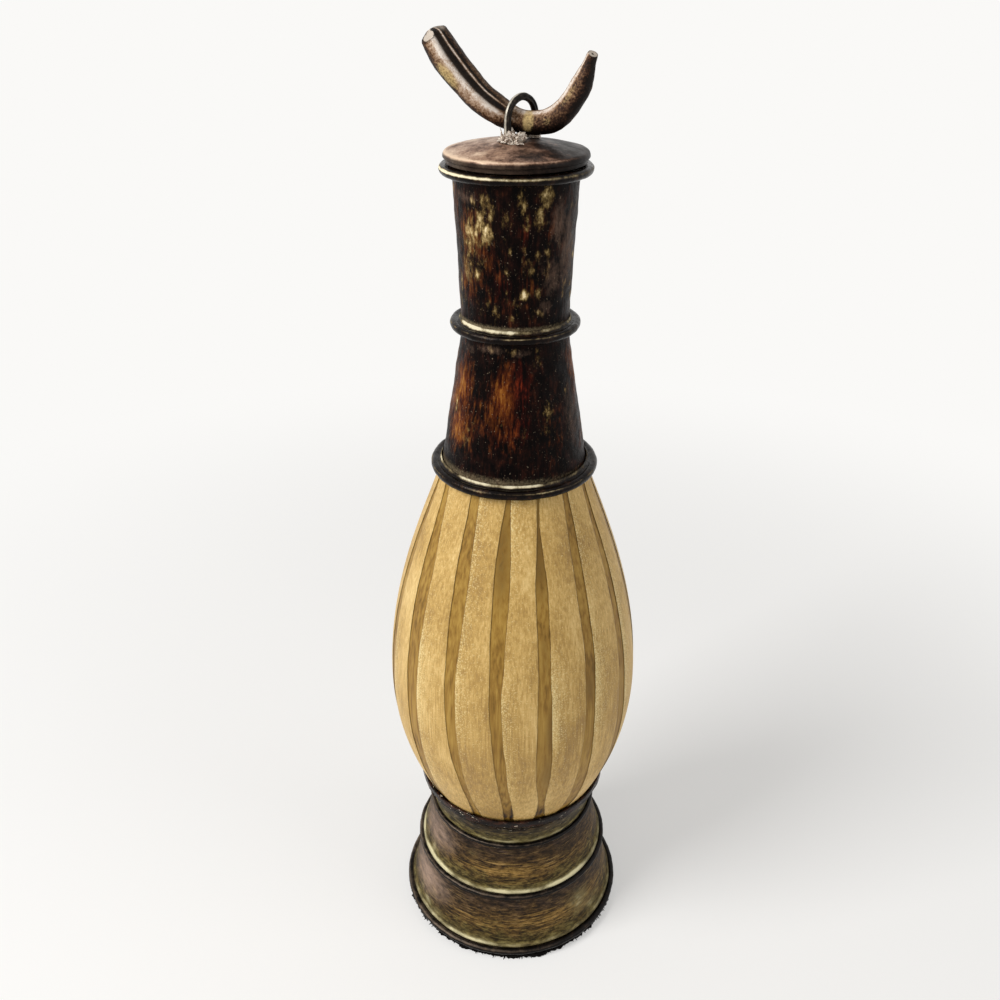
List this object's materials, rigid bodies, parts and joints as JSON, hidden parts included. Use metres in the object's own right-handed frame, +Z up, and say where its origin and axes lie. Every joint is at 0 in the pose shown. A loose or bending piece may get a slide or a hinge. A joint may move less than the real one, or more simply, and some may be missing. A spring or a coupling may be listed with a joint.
{
  "type": "decanter",
  "caption": "Tall decanter with a stepped base, an egg-shaped body striped with pale veneer strips, a ringed neck, and a domed stopper lid lifted by a horn in a wire loop.",
  "frame": {"origin": "on the table under the axis of the body, at the middle of the box round the part", "axes": "+Z up the axis of the neck, -Y towards the pictured side, +X towards the tip of the horn"},
  "size_m": [0.1252, 0.1252, 0.4602],
  "materials": {
    "felt": "black fuzzy felt",
    "bronzed_wood": "turned wood brushed with bronze paint",
    "blackened_metal": "blackened, with pale patina in the coves",
    "core_brown": "brown stained",
    "pale_veneer": "matt, mottled",
    "neck_lacquer": "dark mottled lacquer",
    "bare_wood": "turned, bare",
    "cork": "cork",
    "coppered_lid": "turned wood with worn copper paint",
    "dark_wire": "dark wire",
    "solder": "rough, bright",
    "bronzed_horn": "worn bronze paint on horn",
    "steel": "plain"
  },
  "bodies": {
    "vessel": {"felt_pad": "felt", "lower_tier": "bronzed_wood", "lower_hoop": "blackened_metal", "middle_tier": "bronzed_wood", "middle_hoop": "blackened_metal", "collar_cup": "bronzed_wood", "collar_hoop": "blackened_metal", "base_bolt": "steel", "base_washer": "steel", "body_core": "core_brown", "veneer_strip_01": "pale_veneer", "veneer_strip_02": "pale_veneer", "veneer_strip_03": "pale_veneer", "veneer_strip_04": "pale_veneer", "veneer_strip_05": "pale_veneer", "veneer_strip_06": "pale_veneer", "veneer_strip_07": "pale_veneer", "veneer_strip_08": "pale_veneer", "veneer_strip_09": "pale_veneer", "veneer_strip_10": "pale_veneer", "veneer_strip_11": "pale_veneer", "veneer_strip_12": "pale_veneer", "veneer_strip_13": "pale_veneer", "veneer_strip_14": "pale_veneer", "veneer_strip_15": "pale_veneer", "veneer_strip_16": "pale_veneer", "shoulder_ring": "blackened_metal", "lower_neck": "neck_lacquer", "neck_joining_sleeve": "bare_wood", "mid_ring": "blackened_metal", "upper_neck": "neck_lacquer", "lip_ring": "blackened_metal"},
    "lid": {"lid_dome": "coppered_lid", "stopper_plug": "bare_wood", "stopper_cork": "cork", "lid_loop": "dark_wire", "front_solder": "solder", "rear_solder": "solder"},
    "horn": {"horn": "bronzed_horn"}
  },
  "joints": [
    {"name": "lid_lift", "type": "slide", "parent": "vessel", "child": "lid", "axis": [0, 0, 1], "range_m": [0, 0.06]},
    {"name": "horn_roll", "type": "hinge", "parent": "lid", "child": "horn", "pos_m": [0.002, 0, 0.4262], "axis": [0.9903, -0.1392, 0], "range_deg": [-95, 12]}
  ]
}
